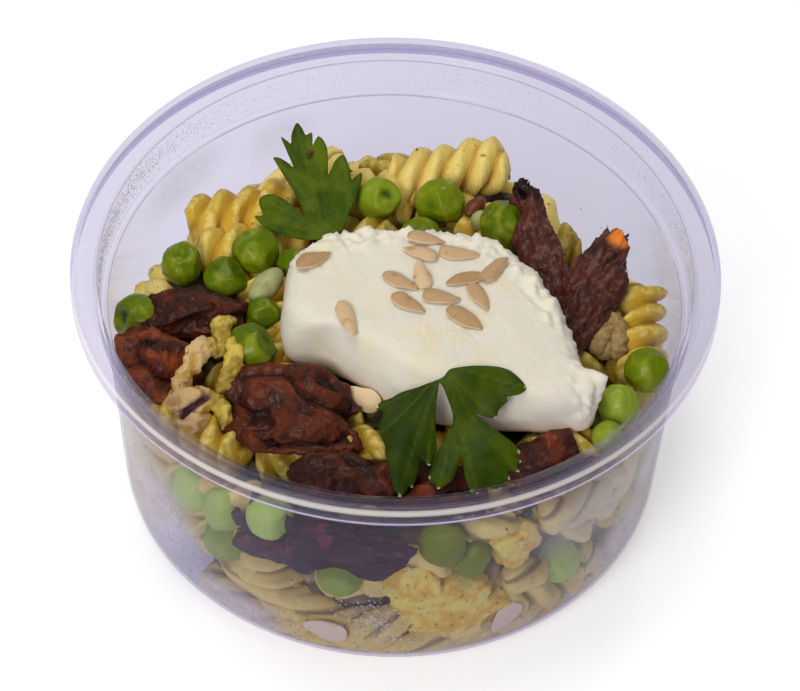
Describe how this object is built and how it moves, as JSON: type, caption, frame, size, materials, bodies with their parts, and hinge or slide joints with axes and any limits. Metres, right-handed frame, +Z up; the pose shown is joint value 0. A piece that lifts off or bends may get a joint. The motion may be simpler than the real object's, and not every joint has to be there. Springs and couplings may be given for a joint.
{
  "type": "pasta salad in a tub",
  "caption": "Pasta salad in a clear round takeaway tub, topped with fresh cheese, sunflower kernels, dried tomato, peas and parsley.",
  "frame": {"origin": "middle of the tub's flat base, on the surface that it stands on", "axes": "+Z up along the tub's middle line; +X to the right and +Y away from the viewer of the reference view"},
  "size_m": [0.118, 0.118, 0.0561],
  "materials": {
    "clear_plastic": "clear, slightly cloudy moulded plastic with a faint lilac cast",
    "pesto_pasta": "cooked pasta with a thin oily coat of pesto and green flecks",
    "fresh_cheese": "soft white cheese, smooth where cut and crumbly where torn",
    "pea_green": "cooked pea skin, wrinkled and slightly glossy",
    "dried_tomato": "dark shrivelled tomato skin, oily, with orange edges",
    "torn_chicken": "cooked chicken torn along its fibres, coated with pesto",
    "parsley_green": "thin veined leaf with a soft sheen"
  },
  "bodies": {
    "root": {"tub": "clear_plastic", "salad_heap": "pesto_pasta", "cheese": "fresh_cheese", "parsley_1": "parsley_green", "parsley_2": "parsley_green", "pea_01": "pea_green", "pea_02": "pea_green", "pea_03": "pea_green", "pea_04": "pea_green", "pea_05": "pea_green", "pea_06": "pea_green", "pea_07": "pea_green", "pea_08": "pea_green", "pea_09": "pea_green", "pea_10": "pea_green", "pea_11": "pea_green", "pea_12": "pea_green", "pea_13": "pea_green", "pea_14": "pea_green", "pea_15": "pea_green", "tomato_1": "dried_tomato", "tomato_2": "dried_tomato", "tomato_3": "dried_tomato", "tomato_4": "dried_tomato", "tomato_5": "dried_tomato", "tomato_6": "dried_tomato", "tomato_7": "dried_tomato", "tomato_8": "dried_tomato", "tomato_9": "dried_tomato", "chicken_1": "torn_chicken", "chicken_2": "torn_chicken", "chicken_3": "torn_chicken"}
  },
  "joints": []
}
